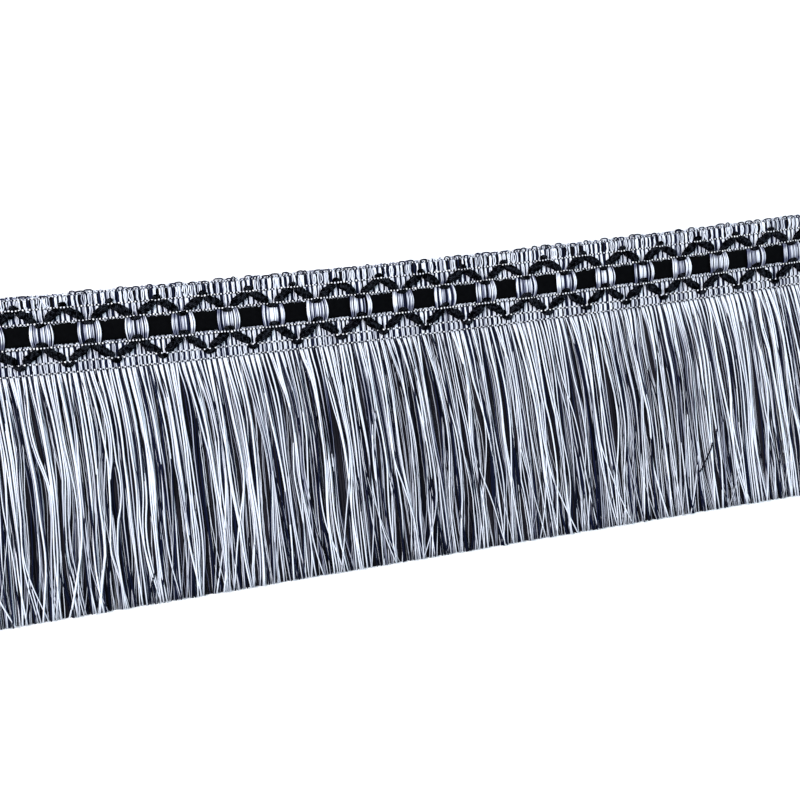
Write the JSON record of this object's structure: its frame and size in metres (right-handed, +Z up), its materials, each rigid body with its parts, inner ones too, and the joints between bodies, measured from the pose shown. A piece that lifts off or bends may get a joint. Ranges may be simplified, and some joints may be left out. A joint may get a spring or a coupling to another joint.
{
  "type": "brush fringe trim",
  "caption": "Length of brush fringe trim lying flat: woven heading with a picot edge, a threaded ribbon and zigzag gimp cords, over a skirt of straight-cut yarns.",
  "frame": {"origin": "middle of the whole trim's plan, on the surface it lies on", "axes": "+X along the trim, +Y towards the picot edge, +Z up out of its face"},
  "size_m": [0.3914, 0.1256, 0.0036],
  "materials": {
    "heading_yarn": "white and black filament yarns laid side by side, with a soft lustre",
    "ribbon_satin": "dense black ribbon, close woven and dull",
    "gimp_cord": "thick black wrapped cord, matt and slightly furry",
    "fringe_yarn": "loose white and black filament yarns with a silky lustre"
  },
  "bodies": {
    "root": {"heading": "heading_yarn", "ribbon": "ribbon_satin", "upper_cord": "gimp_cord", "lower_cord": "gimp_cord", "fringe": "fringe_yarn"}
  },
  "joints": []
}
